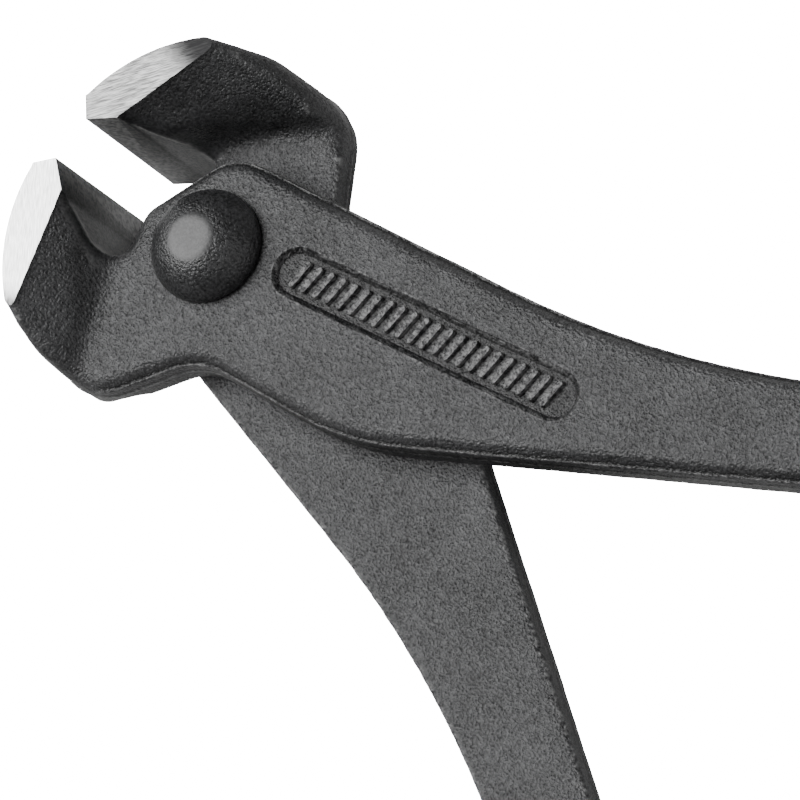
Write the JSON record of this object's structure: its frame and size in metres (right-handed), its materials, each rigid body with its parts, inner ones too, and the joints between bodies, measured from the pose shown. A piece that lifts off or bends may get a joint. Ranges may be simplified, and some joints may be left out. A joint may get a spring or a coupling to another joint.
{
  "type": "end-cutting pincers",
  "caption": "Riveted end-cutting pincers for wire: wide ground jaws, lap joint with a domed rivet, and bare forged handles.",
  "frame": {"origin": "middle of the lap joint, on the rivet's axis and between the two lap faces", "axes": "+Z along the rivet's axis towards the panelled lever, +X out between the jaws, halfway between the two levers"},
  "size_m": [0.2439, 0.1222, 0.027],
  "materials": {
    "forged_steel": "black oxide on a fine granular forged skin",
    "rivet_steel": "black oxide, semi-gloss"
  },
  "bodies": {
    "front_lever": {"front_lever": "forged_steel", "pivot_rivet": "rivet_steel"},
    "rear_lever": {"rear_lever": "forged_steel"}
  },
  "joints": [
    {"name": "jaw_pivot", "type": "hinge", "parent": "front_lever", "child": "rear_lever", "pos_m": [0, 0, 0], "axis": [0, 0, 1], "range_deg": [-18, 16.1]}
  ]
}
